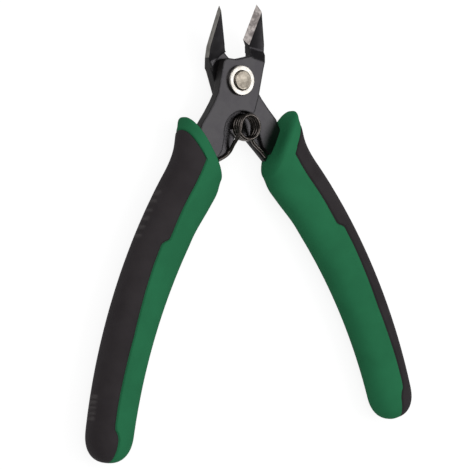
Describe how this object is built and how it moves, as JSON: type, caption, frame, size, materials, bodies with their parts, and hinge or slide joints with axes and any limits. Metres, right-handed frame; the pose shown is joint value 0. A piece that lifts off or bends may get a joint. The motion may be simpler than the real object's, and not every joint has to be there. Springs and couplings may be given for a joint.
{
  "type": "flush cut pliers",
  "caption": "Spring-opened flush cut pliers with two lapped levers on a rivet, angled jaws and two-colour moulded grips.",
  "frame": {"origin": "centre of the rivet's rear head, on its flat back face", "axes": "+Y from the rivet towards the jaw tips, +X towards the right lever, +Z along the rivet towards its spun head"},
  "size_m": [0.1082, 0.1197, 0.0107],
  "materials": {
    "rivet_steel": "satin",
    "washer_steel": "satin",
    "spring_steel": "satin black oxide",
    "blade_steel": "satin black oxide, jaws ground bright",
    "green_grip": "satin",
    "black_grip": "matte"
  },
  "bodies": {
    "pivot": {"rivet": "rivet_steel", "rivet_washer": "washer_steel"},
    "left_lever": {"front_blade": "blade_steel", "left_grip_core": "green_grip", "left_grip_cover": "black_grip", "return_spring": "spring_steel"},
    "right_lever": {"rear_blade": "blade_steel", "right_grip_core": "green_grip", "right_grip_cover": "black_grip"}
  },
  "joints": [
    {"name": "right_lever_turn", "type": "hinge", "parent": "pivot", "child": "right_lever", "pos_m": [0, 0, 0.00356], "axis": [0, 0, -1], "range_deg": [0, 16.9], "stiffness_Nm_per_rad": 0.15, "deforming": ["return_spring"]},
    {"name": "left_lever_turn", "type": "hinge", "parent": "pivot", "child": "left_lever", "pos_m": [0, 0, 0.00356], "axis": [0, 0, 1], "range_deg": [0, 16.9], "stiffness_Nm_per_rad": 0.15, "deforming": ["return_spring"]}
  ],
  "couplings": [
    {"joint": "left_lever_turn", "follows": "right_lever_turn", "ratio": 1}
  ]
}
